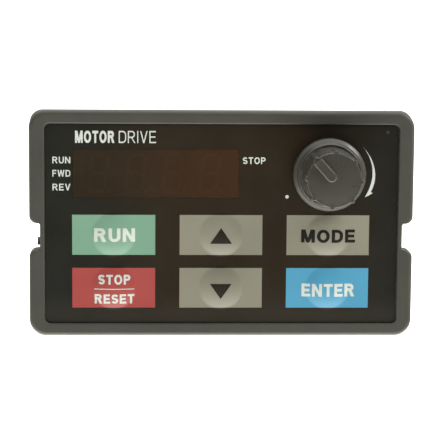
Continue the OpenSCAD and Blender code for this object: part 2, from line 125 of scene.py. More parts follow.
# Housing
FRONT_CORNER_R = 3.2  # of the flange's outline at its front edge
REAR_CORNER_R = 2.5  # of the same outline at the flange's seat
RIM_ROUND = 0.8
INNER_ROUND = 0.28
SEAT_ROUND = 0.15
RECESS_GAP = 0.1
OVERLAY_R = 1.0
WALL = 1.6
BODY_R = 2.0
CAVITY_R = 1.0
PLATE_Y = FLOOR_Y + 1.5  # rear side of the front shell's face plate
COVER_FLOOR_Y = REAR_Y - WALL
PART_LINE = 0.18  # rounding of both shells where they meet
REAR_ROUND = 0.6
WINDOW_LIP = 0.4  # how far the window reaches behind the film on each side
BUSHING_HOLE_R = 3.75

# Cover screws and inserts
SCREW_HEAD_R = 1.9
SCREW_HEAD_DEPTH = 3.0
COUNTERBORE_R = 2.1
SCREW_HOLE_R = 1.05
SCREW_POST_R = 3.0
BOSS_R = 1.8
PILOT_R = 0.85
PILOT_END_Y = -1.2
INSERT_R = 2.1
INSERT_L = 5.0
INSERT_POST_R = 3.3
INSERT_POST_L = 6.4

# The rear cover's lip, which stands inside the front shell
LIP_T = 0.9
LIP_L = 1.2
LIP_GAP = 0.05

# Grip notches in the flange's sides
NOTCH_Z = -2.4
NOTCH_H = 5.0
NOTCH_DEPTH = 2.0
NOTCH_FLARE = 1.4
NOTCH_CORNER = 0.4
NOTCH_SHARE = 0.3  # of the flange's edge rounding that the notch's own edge gets
NIB_SIZE = 1.4
NIB_REACH = 0.55
NIB_Z = -3.6
NIB_NEAR_Y = -1.6

# Keys, with the material slot of each one's printed rectangle
KEYS = {
    "run": "key_green",
    "stop_reset": "key_red",
    "up": "key_grey",
    "down": "key_grey",
    "mode": "key_grey",
    "enter": "key_blue",
}
KEY_CENTRES = {key: (middle(key + "_key").x, middle(key + "_key").z) for key in KEYS}
KEY_W = 15.7
KEY_H = 7.65
DOME_R = (box("run_key")[1].x - box("run_key")[0].x) / 2
DOME_H = FACE_Y - box("run_key")[0].y
PAD_R = DOME_R + 0.4  # the disc of film that each key bends
PAD_STEPS = 72
PAD_RINGS = 26
DOME_POWER = 2.3  # 2 would make the dome's section a parabola
DOME_FOOT = 0.028  # softness of the dome's foot
# Words on the keys: right of the key's centre, above it, width and cap height
KEY_WORDS = {
    "run": [("RUN", 0.15, 0.0, 7.75, 2.6)],
    "stop_reset": [("STOP", 0.1, 1.62, 6.1, 1.85), ("RESET", 0.15, -2.1, 7.55, 1.85)],
    "mode": [("MODE", 0.07, -0.15, 10.3, 2.5)],
    "enter": [("ENTER", 0.18, -0.4, 10.1, 2.5)],
}
# Triangles on the keys: half width, base above the key's centre, and height of the tip above the base
KEY_TRIANGLES = {"up": (2.08, -1.62, 3.03), "down": (2.05, 0.82, -2.92)}
INK = 0.02  # thickness of a print
INK_SINK = 0.03  # how far a print reaches into the film

# Knob
KNOB_X = middle("pot_shaft").x
KNOB_Z = middle("pot_shaft").z
KNOB_BASE_Y = knob_high.y
POINTER_H = 0.35
KNOB_L = KNOB_BASE_Y - knob_low.y - POINTER_H
SKIRT_R = 6.88
CONE_R = 5.85
CONE_L = 3.2
GRIP_BASE_R = 5.45
GRIP_R = 5.05
CAP_ROUND = 0.38
CAP_CROWN = 0.31
POINTER_ANGLE = 131.5
RIBS = 8
RIB_PITCH = 360 / RIBS
RIB_R = 0.45
SHAFT_R = 3.02
SHAFT_FLAT = 2.52  # distance of the shaft's flat from its axis


# ---- Outlines, as lists of (x, z) ----

def arc(x, z, r, start, end, steps):
    """Points of an arc about (x, z), from one angle to the other in degrees."""
    angles = [math.radians(start + (end - start) * i / steps) for i in range(steps + 1)]
    return [(x + r * math.cos(a), z + r * math.sin(a)) for a in angles]


def quarter(steps):
    """Sine and cosine through a quarter turn, from (0, 1) to (1, 0)."""
    turns = [math.radians(90 * i / steps) for i in range(steps + 1)]
    return [(math.sin(turn), math.cos(turn)) for turn in turns]


def notched_side(inset):
    """The flange's right side from bottom to top, with its grip notch, moved in by inset.
    The notch itself moves less, because little of the rim is left beside its floor."""
    mouth_x = BEZEL_W / 2 - NOTCH_FLARE
    floor_x = BEZEL_W / 2 - NOTCH_DEPTH + NOTCH_CORNER
    low = NOTCH_Z - NOTCH_H / 2
    high = NOTCH_Z + NOTCH_H / 2
    small = NOTCH_SHARE * inset
    wide = NOTCH_FLARE - inset
    tall = NOTCH_FLARE - small
    flare = [(wide * x, tall * z) for x, z in arc(0, 0, 1, 0, 90, 8)]
    return (
        [(mouth_x + x, low - NOTCH_FLARE + z) for x, z in flare]
        + arc(floor_x, low + NOTCH_CORNER, NOTCH_CORNER + small, 270, 180, 4)
        + arc(floor_x, high - NOTCH_CORNER, NOTCH_CORNER + small, 180, 90, 4)
        + [(mouth_x + x, high + NOTCH_FLARE - z) for x, z in reversed(flare)]
    )


def straight_side(x):
    """A straight side with one point beside each point of the notched one."""
    heights = [z for _, z in notched_side(0)]
    step = (heights[-1] - heights[0]) / (len(heights) - 1)
    likeness = 0.8  # 1 would copy the notched side's heights, 0 would space them evenly
    return [(x, likeness * z + (1 - likeness) * (heights[0] + i * step)) for i, z in enumerate(heights)]


def closed_outline(w, h, r, side, inset=0.0):
    """A rounded rectangle, anticlockwise from its lower right corner.
    The given points make its right side, and their mirror image its left one."""
    x = w / 2 - r
    z = h / 2 - r

    def corner(sx, sz, start):
        return arc(sx * x, sz * z, r - inset, start, start + 90, CORNER_STEPS)

    mirrored = [(-px, pz) for px, pz in reversed(side)]
    right = corner(1, -1, 270) + side + corner(1, 1, 0)
    return right + corner(-1, 1, 90) + mirrored + corner(-1, -1, 180)


def flange_outline(inset, r):
    return closed_outline(BEZEL_W, BEZEL_H, r, notched_side(inset), inset)


def plain_outline(w, h, r):
    return closed_outline(w, h, r, straight_side(w / 2))


def body_outline(inset, r):
    """The body behind the flange, moved in by inset, with corners of radius r."""
    return plain_outline(BODY_W - 2 * inset, BODY_H - 2 * inset, r)


def rectangle(x, z, w, h):
    return [(x + sx * w / 2, z + sz * h / 2) for sx, sz in ((-1, -1), (1, -1), (1, 1), (-1, 1))]


def circle(x, z, r, steps):
    return arc(x, z, r, 0, 360, steps)[:-1]


def contains(outline, x, z):
    """Whether a point lies inside a closed outline."""
    inside = False
    for (ax, az), (bx, bz) in zip(outline, outline[1:] + outline[:1]):
        if (az > z) != (bz > z) and x < (bx - ax) * (z - az) / (bz - az) + ax:
            inside = not inside
    return inside


# ---- Mesh building ----

def loft(bm, sections):
    """A closed solid through sections, each a flat outline and its y, with both ends capped."""
    rows = [[bm.verts.new((x, y, z)) for x, z in outline] for outline, y in sections]
    faces = []
    for near, far in zip(rows, rows[1:]):
        for i in range(len(near)):
            j = (i + 1) % len(near)
            faces.append(bm.faces.new((near[i], near[j], far[j], far[i])))
    faces.append(bm.faces.new(rows[0][::-1]))
    faces.append(bm.faces.new(rows[-1]))
    bmesh.ops.recalc_face_normals(bm, faces=faces)


def cylinder(bm, x, z, near_y, far_y, r, steps=ROUND_STEPS):
    loft(bm, [(circle(x, z, r, steps), near_y), (circle(x, z, r, steps), far_y)])


def turned(bm, x, z, profile):
    """A turned solid about the Y line through (x, z): the profile is (radius, y) from end to end."""
    loft(bm, [(circle(x, z, r, ROUND_STEPS), y) for r, y in profile])


def sheet(bm, front, back):
    """Turns flat faces drawn in (x, z) into a closed solid between two surfaces y(x, z)."""
    faces = bm.faces[:]
    rims = [edge for edge in bm.edges if len(edge.link_faces) == 1]
    twins = {}
    for vert in bm.verts[:]:
        x, _, z = vert.co
        twins[vert] = bm.verts.new((x, back(x, z), z))
        vert.co.y = front(x, z)
    for edge in rims:
        a, b = edge.verts
        wall = bm.faces.new((a, b, twins[b], twins[a]))
        wall.material_index = edge.link_faces[0].material_index
    for face in faces:
        rear = bm.faces.new([twins[v] for v in reversed(face.verts)])
        rear.material_index = face.material_index
    bmesh.ops.recalc_face_normals(bm, faces=bm.faces[:])


def split(bm, point, normal):
    """Cuts every face along a plane and keeps both parts."""
    geometry = bm.verts[:] + bm.edges[:] + bm.faces[:]
    bmesh.ops.bisect_plane(bm, geom=geometry, plane_co=point, plane_no=normal)


def add_object(name, data):
    obj = bpy.data.objects.new(name, data)
    bpy.context.scene.collection.objects.link(obj)
    return obj


def make_object(name, bm, materials=()):
    """An object from a mesh drawn in millimetres."""
    bmesh.ops.scale(bm, vec=(MM, MM, MM), verts=bm.verts[:])
    mesh = bpy.data.meshes.new(name)
    bm.to_mesh(mesh)
    bm.free()
    for material in materials:
        mesh.materials.append(material)
    return add_object(name, mesh)


def lofted(name, sections, materials=()):
    bm = bmesh.new()
    loft(bm, sections)
    return make_object(name, bm, materials)


def bake_modifiers(obj):
    graph = bpy.context.evaluated_depsgraph_get()
    old = obj.data
    mesh = bpy.data.meshes.new_from_object(obj.evaluated_get(graph))
    obj.modifiers.clear()
    obj.data = mesh
    mesh.name = old.name
    bpy.data.meshes.remove(old)


def combine(obj, tool, operation):
    """Cuts the tool from an object or fuses it on, then deletes the tool."""
    modifier = obj.modifiers.new("combine", "BOOLEAN")
    modifier.operation = operation
    modifier.solver = "EXACT"
    modifier.object = tool
    bake_modifiers(obj)
    bpy.data.objects.remove(tool)


def shade(obj, angle=32, weighted=True):
    """Smooth shading with edges sharper than the angle kept crisp."""
    for polygon in obj.data.polygons:
        polygon.use_smooth = True
    obj.data.set_sharp_from_angle(angle=math.radians(angle))
    if weighted:
        modifier = obj.modifiers.new("weighted normals", "WEIGHTED_NORMAL")
        modifier.keep_sharp = True
        bake_modifiers(obj)


def place(obj, body, slot, *replaced):
    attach(obj, body)
    if replaced:
        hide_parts(*replaced)


def finish_moulding(obj, body, slot, node, angle=32):
    """One material all over, smooth shading, and the CAD node that the piece stands for."""
    obj.data.materials.clear()
    obj.data.materials.append(MATERIALS[slot])
    shade(obj, angle)
    place(obj, body, slot, node)


# ---- Materials ----

def srgb(red, green, blue):
    """Linear colour of an 8-bit display colour."""
    def linear(value):
        value = value / 255
        return value / 12.92 if value <= 0.04045 else ((value + 0.055) / 1.055) ** 2.4
    return (linear(red), linear(green), linear(blue), 1.0)


class Tree:
    """A node tree, with one short method per kind of node."""

    def __init__(self, tree):
        self.tree = tree
        self.tree.nodes.clear()

    def feed(self, socket, value):
        if hasattr(value, "is_output"):
            self.tree.links.new(value, socket)
        else:
            socket.default_value = value

    def add(self, kind, inputs=(), **settings):
        """A node with these settings, and with its inputs fed by name or number."""
        node = self.tree.nodes.new("ShaderNode" + kind)
        for name, value in settings.items():
            setattr(node, name, value)
        for socket, value in dict(inputs).items():
            self.feed(node.inputs[socket], value)
        return node

    def remap(self, value, low, high, to_low=0.0, to_high=1.0):
        """to_low at the low value, to_high at the high one, with a soft start and end."""
        inputs = {"Value": value, "From Min": low, "From Max": high, "To Min": to_low, "To Max": to_high}
        return self.add("MapRange", inputs, interpolation_type="SMOOTHSTEP").outputs["Result"]

    def maths(self, operation, a, b=0.0):
        return self.add("Math", {0: a, 1: b}, operation=operation).outputs[0]


class Nodes(Tree):
    """The node tree of a new material."""

    def __init__(self, name):
        self.material = bpy.data.materials.new(name)
        self.material.use_nodes = True
        super().__init__(self.material.node_tree)
        self.shader = self.add("BsdfPrincipled")
        self.add("OutputMaterial", {"Surface": self.shader.outputs[0]})
        self.point = self.add("TexCoord").outputs["Object"]

    def in_units_of(self, size_mm, stretch=(1, 1, 1)):
        """The surface point, measured in this size."""
        scale = [s / (size_mm * MM) for s in stretch]
        return self.add("Mapping", {"Vector": self.point, "Scale": scale}).outputs[0]

    def noise(self, size_mm, detail=3.0, stretch=(1, 1, 1)):
        """Noise whose features are about size_mm across, 0 to 1."""
        point = self.in_units_of(size_mm, stretch)
        inputs = {"Vector": point, "Scale": 1.0, "Detail": detail, "Roughness": 0.55}
        return self.add("TexNoise", inputs).outputs["Fac"]

    def mix(self, factor, a, b):
        """Colour a at factor 0, colour b at factor 1."""
        return self.add("Mix", {"Factor": factor, 6: a, 7: b}, data_type="RGBA").outputs[2]

    def axis(self, name):
        """One coordinate of the surface point, in metres."""
        return self.add("SeparateXYZ", {0: self.point}).outputs[name]

    def bump(self, height, distance_mm, strength, after=None):
        """The surface normal for this height, on top of the normal of another bump."""
        inputs = {"Height": height, "Distance": distance_mm * MM, "Strength": strength}
        if after is not None:
            inputs["Normal"] = after
        return self.add("Bump", inputs).outputs["Normal"]

    def edges(self, radius_mm):
        """Near 1 on edges and near 0 on flat areas."""
        rounded = self.add("Bevel", {"Radius": radius_mm * MM}, samples=8).outputs[0]
        normal = self.add("NewGeometry").outputs["Normal"]
        dot = self.add("VectorMath", {0: rounded, 1: normal}, operation="DOT_PRODUCT")
        return self.remap(dot.outputs["Value"], 0.99, 0.88)

    def set(self, specular=0.5, **inputs):
        """Sets the shader's inputs, each by its own name in small letters."""
        self.shader.inputs["Specular IOR Level"].default_value = specular
        for name, value in inputs.items():
            self.feed(self.shader.inputs[name.replace("_", " ").title()], value)


def tinted(nodes, colour, amount, size_mm):
    """The colour with soft lighter and darker patches of the given size."""
    dark = [c * (1 - amount) for c in colour[:3]] + [1.0]
    light = [min(1.0, c * (1 + amount)) for c in colour[:3]] + [1.0]
    return nodes.mix(nodes.remap(nodes.noise(size_mm), 0.3, 0.7), dark, light)


def varied_roughness(nodes, roughness, spread, size_mm):
    """The roughness with soft patches that differ from it by up to the spread."""
    return nodes.remap(nodes.noise(size_mm, 4.0), 0.25, 0.75, roughness - spread, roughness + spread)


def edge_wear_and_highlight(nodes, base, radius_mm, patches, colour):
    """The base colour, turned to another one along edges, patchily: wear from rubbing, and a painted
    highlight where the edges catch the light.
    """
    return nodes.mix(nodes.maths("MULTIPLY", nodes.edges(radius_mm), patches), base, colour)


def finished(nodes, base, roughness, grain, detail=2.0, after=None, **others):
    """The material with this base colour, roughness (value, spread, size of its patches)
    and grain (size, depth, strength), on top of the normal of another bump."""
    size, depth, strength = grain
    nodes.set(
        base_color=base,
        roughness=varied_roughness(nodes, *roughness),
        normal=nodes.bump(nodes.noise(size, detail), depth, strength, after),
        **others,
    )
    return nodes.material


def housing_plastic(name):
    """Olive-grey ABS with a fine spark-eroded texture and edges a little lighter: wear from rubbing, and
    a painted highlight where the edges catch the light.
    """
    nodes = Nodes(name)
    base = tinted(nodes, srgb(64, 64, 56), 0.06, 9.0)
    speck = nodes.remap(nodes.noise(0.22, 2.0), 0.35, 0.65)
    base = nodes.mix(nodes.maths("MULTIPLY", speck, 0.12), base, srgb(84, 83, 75))
    # Lighter edges: partly wear from rubbing, partly a painted highlight of the light that the edges
    # catch.
    patches = nodes.remap(nodes.noise(2.4, 4.0), 0.38, 0.66, 0.5, 0.9)
    base = edge_wear_and_highlight(nodes, base, 0.45, patches, srgb(138, 136, 122))
    fine = nodes.bump(nodes.noise(0.16), 0.012, 0.55)
    return finished(nodes, base, (0.52, 0.05, 3.0), (1.6, 0.01, 0.35), 3.0, fine, specular=0.42)


def dusted(nodes, base, amount, colour):
    """The base colour with fine specks of dust."""
    return nodes.mix(nodes.remap(nodes.noise(0.25, 2.0), 0.66, 0.78, 0.0, amount), base, colour)


def film(name, colour):
    """Velvet-textured polyester film over a printed colour."""
    nodes = Nodes(name)
    base = dusted(nodes, tinted(nodes, colour, 0.03, 9.0), 0.12, srgb(159, 155, 142))
    return finished(nodes, base, (0.33, 0.05, 8.0), (0.12, 0.006, 0.5), specular=0.6)


def overlay_film(name):
    """The black print of the face, browner in the middle and greyer at the sides, with a painted sheen
    that makes it lighter and greyer towards the bottom.
    """
    nodes = Nodes(name)
    side = nodes.maths("ABSOLUTE", nodes.maths("SUBTRACT", nodes.axis("X"), 3.0 * MM))
    side = nodes.remap(side, 12 * MM, 34 * MM)
    base = nodes.mix(side, srgb(40, 31, 18), srgb(28, 29, 24))
    base = nodes.mix(nodes.remap(nodes.noise(7.0), 0.3, 0.7, 0.0, 0.3), base, srgb(30, 27, 18))
    # Painted sheen: lighter and greyer towards the bottom.
    low = nodes.remap(nodes.axis("Z"), -12 * MM, -19 * MM, 0.0, 0.7)
    base = nodes.mix(low, base, srgb(47, 44, 36))
    base = dusted(nodes, base, 0.1, srgb(140, 134, 119))
    return finished(nodes, base, (0.44, 0.06, 6.0), (0.12, 0.006, 0.5), specular=0.22)


def ink(name, colour):
    """Screen-printed ink, a little uneven in cover."""
    nodes = Nodes(name)
    base = tinted(nodes, colour, 0.05, 0.6)
    return finished(nodes, base, (0.5, 0.08, 1.0), (0.1, 0.004, 0.5), specular=0.3)


def window_tint(name):
    """Smoked red-brown film that lets a little of the digits through."""
    nodes = Nodes(name)
    warm = nodes.remap(nodes.axis("X"), -27 * MM, 2 * MM)
    base = nodes.mix(warm, srgb(46, 38, 25), srgb(64, 42, 24))
    base = nodes.mix(nodes.remap(nodes.noise(5.0), 0.3, 0.7, 0.0, 0.35), base, srgb(53, 39, 24))
    return finished(nodes, base, (0.4, 0.05, 6.0), (0.14, 0.004, 0.4), alpha=0.8, specular=0.24)


def knob_plastic(name):
    """Dark moulded nylon with a satin skin, lighter on its edges: polished a little by fingers, and a
    painted highlight where the edges catch the light.
    """
    nodes = Nodes(name)
    base = tinted(nodes, srgb(64, 63, 56), 0.06, 3.0)
    # Lighter edges: partly polish from fingers, partly a painted highlight of the light that the edges
    # catch.
    patches = nodes.remap(nodes.noise(1.2, 4.0), 0.35, 0.65, 0.35, 0.85)
    base = edge_wear_and_highlight(nodes, base, 0.4, patches, srgb(146, 144, 132))
    return finished(nodes, base, (0.3, 0.05, 2.0), (0.14, 0.005, 0.4), 3.0)


def moulded(name, colour, roughness=0.5, grain_mm=0.15, grain_depth=0.008, variation=0.06):
    """A plain moulded or cast skin: resins, ceramics and nylon."""
    nodes = Nodes(name)
    base = tinted(nodes, colour, variation, 1.5)
    return finished(nodes, base, (roughness, 0.06, 1.0), (grain_mm, grain_depth, 0.6), 3.0)


def metal(name, colour, roughness=0.3, brushed=(1, 1, 1), tarnish=(90, 84, 76), amount=0.25):
    """Bare or plated metal with fine tool marks and a little tarnish."""
    nodes = Nodes(name)
    spots = nodes.remap(nodes.noise(1.2, 5.0), 0.5, 0.8, 0.0, amount)
    marks = nodes.noise(0.12, 3.0, brushed)
    nodes.set(
        base_color=nodes.mix(spots, tinted(nodes, colour, 0.05, 2.0), srgb(*tarnish)),
        metallic=1.0,
        roughness=nodes.remap(marks, 0.2, 0.8, roughness - 0.08, roughness + 0.12),
        normal=nodes.bump(marks, 0.004, 0.5),
    )
    return nodes.material


def board_laminate(name):
    """Green solder mask with paler tracks under it and the woven glass showing faintly."""
    nodes = Nodes(name)
    wave = nodes.add("TexWave", {"Vector": nodes.in_units_of(8.0)}, bands_direction="DIAGONAL")
    runs = nodes.remap(nodes.noise(5.0, 0.0), 0.46, 0.54)
    tracks = nodes.maths("MULTIPLY", nodes.remap(wave.outputs["Fac"], 0.55, 0.62), runs)
    weave = nodes.noise(0.25, 1.0, (1, 1, 4))
    base = nodes.mix(tracks, srgb(18, 70, 42), srgb(40, 104, 60))
    base = nodes.mix(nodes.remap(weave, 0.3, 0.7, 0.0, 0.2), base, srgb(52, 96, 58))
    nodes.set(
        base_color=base,
        roughness=varied_roughness(nodes, 0.35, 0.06, 2.0),
        normal=nodes.bump(tracks, 0.03, 0.6),
    )
    return nodes.material


# Each material slot's maker and the settings that go to it after the slot's name
SLOTS = {
    "housing_plastic": (housing_plastic,),
    "overlay_film": (overlay_film,),
    "window_tint": (window_tint,),
    "key_green": (film, srgb(120, 160, 136)),
    "key_red": (film, srgb(163, 70, 66)),
    "key_grey": (film, srgb(137, 135, 119)),
    "key_blue": (film, srgb(80, 154, 187)),
    "knob_plastic": (knob_plastic,),
    "switch_nylon": (moulded, srgb(40, 40, 40), 0.45),
    "nickel_steel": (metal, srgb(190, 190, 192), 0.28, (1, 1, 6)),
    "tin_plate": (metal, srgb(200, 200, 204), 0.35),
    "board_laminate": (board_laminate,),
    "display_case": (moulded, srgb(44, 42, 40), 0.5),
    "segment_resin": (moulded, srgb(212, 206, 194), 0.4, 0.3, 0.004),
    "lamp_resin": (moulded, srgb(206, 150, 138), 0.35, 0.3, 0.004),
    "pot_case": (moulded, srgb(38, 62, 96), 0.45),
    "track_carbon": (moulded, srgb(52, 46, 42), 0.35, 0.1, 0.004, 0.12),
    "contact_brass": (metal, srgb(206, 168, 90), 0.25, (1, 6, 1), (120, 84, 44), 0.35),
    "chip_epoxy": (moulded, srgb(44, 44, 46), 0.6, 0.08, 0.006),
    "chip_ceramic": (moulded, srgb(188, 156, 112), 0.4, 0.2, 0.004, 0.1),
    "can_aluminium": (metal, srgb(210, 212, 214), 0.3, (1, 8, 1)),
    "resonator_ceramic": (moulded, srgb(206, 140, 60), 0.4, 0.3, 0.005, 0.08),
}
MATERIALS = {name: make(name, *settings) for name, (make, *settings) in SLOTS.items()}
INK_WHITE = ink("ink_white", srgb(201, 208, 199))
INK_BLACK = ink("ink_black", srgb(14, 11, 5))
# Painted highlight of a tiny bump under the film, drawn as a grey dot.
BUMP_HIGHLIGHT_INK = ink("bump_highlight_ink", srgb(55, 59, 55))
INK_BROWN = ink("ink_brown", srgb(32, 21, 11))


def dress_cad_nodes():
    """Every CAD node that no piece below stands for is seen with its own shape, in these materials."""
    for part in frame["record"]["subparts"]:
        data = frame["nodes"][part["node"]].data
        data.materials.clear()
        data.materials.append(MATERIALS[part["material_slot"]])


# ---- Housing ----

def screw_places():
    low, high = box("cover_screws")
    columns = (low.x + SCREW_HEAD_R, high.x - SCREW_HEAD_R)
    rows = (low.z + SCREW_HEAD_R, high.z - SCREW_HEAD_R)
    return [(x, z) for x in columns for z in rows]


def insert_places():
    low, high = box("threaded_inserts")
    r = (high.z - low.z) / 2
    return [(x, (low.z + high.z) / 2) for x in (low.x + r, high.x - r)]


def front_sections():
    """The front shell's skin, from the recess floor over the rim and flange into the body's inside."""

    def recess(gap):
        return plain_outline(OVERLAY_W + 2 * gap, OVERLAY_H + 2 * gap, OVERLAY_R + gap)

    sections = [(recess(RECESS_GAP), FLOOR_Y)]
    for sine, cosine in quarter(4):
        gap = RECESS_GAP + INNER_ROUND * (1 - cosine)
        sections.append((recess(gap), RIM_Y + INNER_ROUND * (1 - sine)))
    for sine, cosine in quarter(8):
        inset = RIM_ROUND * (1 - sine)
        sections.append((flange_outline(inset, FRONT_CORNER_R), RIM_Y + RIM_ROUND * (1 - cosine)))
    for sine, cosine in quarter(3):
        inset = SEAT_ROUND * (1 - cosine)
        sections.append((flange_outline(inset, REAR_CORNER_R), -SEAT_ROUND * (1 - sine)))
    return sections + [
        (body_outline(0.0, BODY_R), 0.0),
        (body_outline(0.0, BODY_R), JOINT_Y - PART_LINE),
        (body_outline(PART_LINE, BODY_R - PART_LINE), JOINT_Y),
        (body_outline(WALL, CAVITY_R), JOINT_Y),
        (body_outline(WALL, CAVITY_R), PLATE_Y),
    ]


def front_cutters():
    """Openings in the face plate: the window, the bushing and one hole behind each key."""
    bm = bmesh.new()
    hole_y = (FLOOR_Y - OVERCUT, PLATE_Y + OVERCUT)
    window_play = 0.2
    key_play = 0.3
    centre = middle("display_window")
    opening = rectangle(centre.x, centre.z, WINDOW_W + window_play, WINDOW_H + window_play)
    loft(bm, [(opening, y) for y in hole_y])
    cylinder(bm, KNOB_X, KNOB_Z, *hole_y, BUSHING_HOLE_R)
    for key in KEYS:
        cylinder(bm, *KEY_CENTRES[key], *hole_y, DOME_R + key_play, PAD_STEPS)
    return make_object("cutters", bm)


def pegs(places, near_y, far_y, r):
    """A cylinder at each place, to fuse on or to cut away."""
    bm = bmesh.new()
    for x, z in places:
        cylinder(bm, x, z, near_y, far_y, r)
    return make_object("pegs", bm)


def nib():
    """The small locating nib on the floor of the left notch."""
    soft = 0.12
    x = -BEZEL_W / 2 + NOTCH_DEPTH - (NIB_REACH - SINK) / 2
    steps = [(-soft, 0.0), (0.0, soft), (0.0, NIB_SIZE - soft), (-soft, NIB_SIZE)]
    return lofted("nib", [
        (rectangle(x, NIB_Z, NIB_REACH + SINK + 2 * grow, NIB_SIZE + 2 * grow), NIB_NEAR_Y + y)
        for grow, y in steps
    ])


def front_shell():
    obj = lofted("front_shell", front_sections())
    combine(obj, front_cutters(), "DIFFERENCE")
    combine(obj, pegs(screw_places(), PLATE_Y - 2 * SINK, BOARD_FRONT_Y, BOSS_R), "UNION")
    combine(obj, pegs(screw_places(), PILOT_END_Y, BOARD_FRONT_Y + OVERCUT, PILOT_R), "DIFFERENCE")
    combine(obj, nib(), "UNION")
    finish_moulding(obj, "housing", "housing_plastic", "front_bezel")


def cover_sections():
    """The rear shell's skin, from its inside over the lip and the joint to the rear face."""
    lead_in = 0.15  # bevel that lets the lip find its way in

    def inside(inset):
        return body_outline(WALL + inset, CAVITY_R - LIP_GAP)

    def outside(inset):
        return body_outline(inset, BODY_R - inset)

    sections = [
        (inside(0.0), COVER_FLOOR_Y),
        (inside(0.0), JOINT_Y + 2.0),
        (inside(LIP_T), JOINT_Y + 1.0),
        (inside(LIP_T), JOINT_Y - LIP_L),
        (inside(LIP_GAP + lead_in), JOINT_Y - LIP_L),
        (inside(LIP_GAP), JOINT_Y - LIP_L + 0.2),
        (inside(LIP_GAP), JOINT_Y),
        (outside(PART_LINE), JOINT_Y),
        (outside(0.0), JOINT_Y + PART_LINE),
    ]
    for sine, cosine in quarter(6):
        sections.append((outside(REAR_ROUND * (1 - cosine)), REAR_Y - REAR_ROUND * (1 - sine)))
    return sections


def screw_posts():
    """Posts that clamp the board, trimmed where they would reach into the walls."""
    board_play = 0.02
    wall_play = 0.05
    posts = pegs(screw_places(), BOARD_REAR_Y + board_play, COVER_FLOOR_Y + SINK, SCREW_POST_R)
    outline = body_outline(WALL + wall_play, CAVITY_R)
    trim = lofted("trim", [(outline, BOARD_REAR_Y - OVERCUT), (outline, REAR_Y)])
    combine(posts, trim, "INTERSECT")
    return posts


def bevelled(size, near_y, bevel):
    """A hole of this size that opens in the rear face with a bevelled mouth, as (size, y) steps."""
    mouth = size + bevel
    return [(size, near_y), (size, REAR_Y - bevel), (mouth, REAR_Y), (mouth, REAR_Y + OVERCUT)]


def cover_cutters():
    """Stepped screw holes, insert holes and the connector's opening."""
    bm = bmesh.new()
    bevel = 0.25
    insert_bevel = 0.1
    shroud_play = 0.5
    head_y = REAR_Y - SCREW_HEAD_DEPTH
    shank = [(SCREW_HOLE_R, BOARD_REAR_Y - OVERCUT), (SCREW_HOLE_R, head_y)]
    for x, z in screw_places():
        turned(bm, x, z, shank + bevelled(COUNTERBORE_R, head_y, bevel))
    for x, z in insert_places():
        turned(bm, x, z, bevelled(INSERT_R, REAR_Y - INSERT_L, insert_bevel))
    low, high = box("connector_shroud")
    centre = middle("connector_shroud")
    w, _, h = high - low
    loft(bm, [
        (rectangle(centre.x, centre.z, w + 2 * play, h + 2 * play), y)
        for play, y in bevelled(shroud_play / 2, COVER_FLOOR_Y - OVERCUT, bevel)
    ])
    return make_object("cover cutters", bm)


def rear_shell():
    obj = lofted("rear_shell", cover_sections())
    posts = pegs(insert_places(), REAR_Y - INSERT_POST_L, COVER_FLOOR_Y + SINK, INSERT_POST_R)
    combine(obj, posts, "UNION")
    combine(obj, screw_posts(), "UNION")
    combine(obj, cover_cutters(), "DIFFERENCE")
    finish_moulding(obj, "housing", "housing_plastic", "rear_cover")


# ---- Printed face ----

def soft_dome(r):
    """A dome of the keys' radius and height that runs out softly around its foot."""
    rise = DOME_H * (1 - (r / DOME_R) ** DOME_POWER)
    return DOME_FOOT * math.log(1 + math.exp(rise / DOME_FOOT))


def dome_height(r):
    """Height of a key's embossing at distance r from its centre, exactly flat at the pad's edge."""
    edge = soft_dome(PAD_R)
    return max(0.0, (soft_dome(r) - edge) * DOME_H / (soft_dome(0) - edge))


def face_height(x, z):
    """How far the printed face stands proud of its flat part at (x, z)."""
    for kx, kz in KEY_CENTRES.values():
        r = math.hypot(x - kx, z - kz)
        if r < PAD_R:
            return dome_height(r)
    return 0.0


def on_face(proud):
    """The surface that stands this much in front of the printed face, as y(x, z)."""
    return lambda x, z: FACE_Y - face_height(x, z) - proud


def fill(bm, outlines, material_number, tolerance=1e-5):
    """Adds flat faces between closed outlines.
    material_number(x, z) is that of the face at (x, z), or None where there is no face."""
    points = []
    edges = []
    for line in outlines:
        start = len(points)
        points += [Vector(p) for p in line]
        edges += [(start + i, start + (i + 1) % len(line)) for i in range(len(line))]
    places, _, faces, _, _, _ = delaunay_2d_cdt(points, edges, [], 1, tolerance)
    corners = {}
    for face in faces:
        x = sum(places[i].x for i in face) / len(face)
        z = sum(places[i].y for i in face) / len(face)
        number = material_number(x, z)
        if number is None:
            continue
        for i in face:
            if i not in corners:
                corners[i] = bm.verts.new((places[i].x, 0, places[i].y))
        bm.faces.new([corners[i] for i in face]).material_index = number


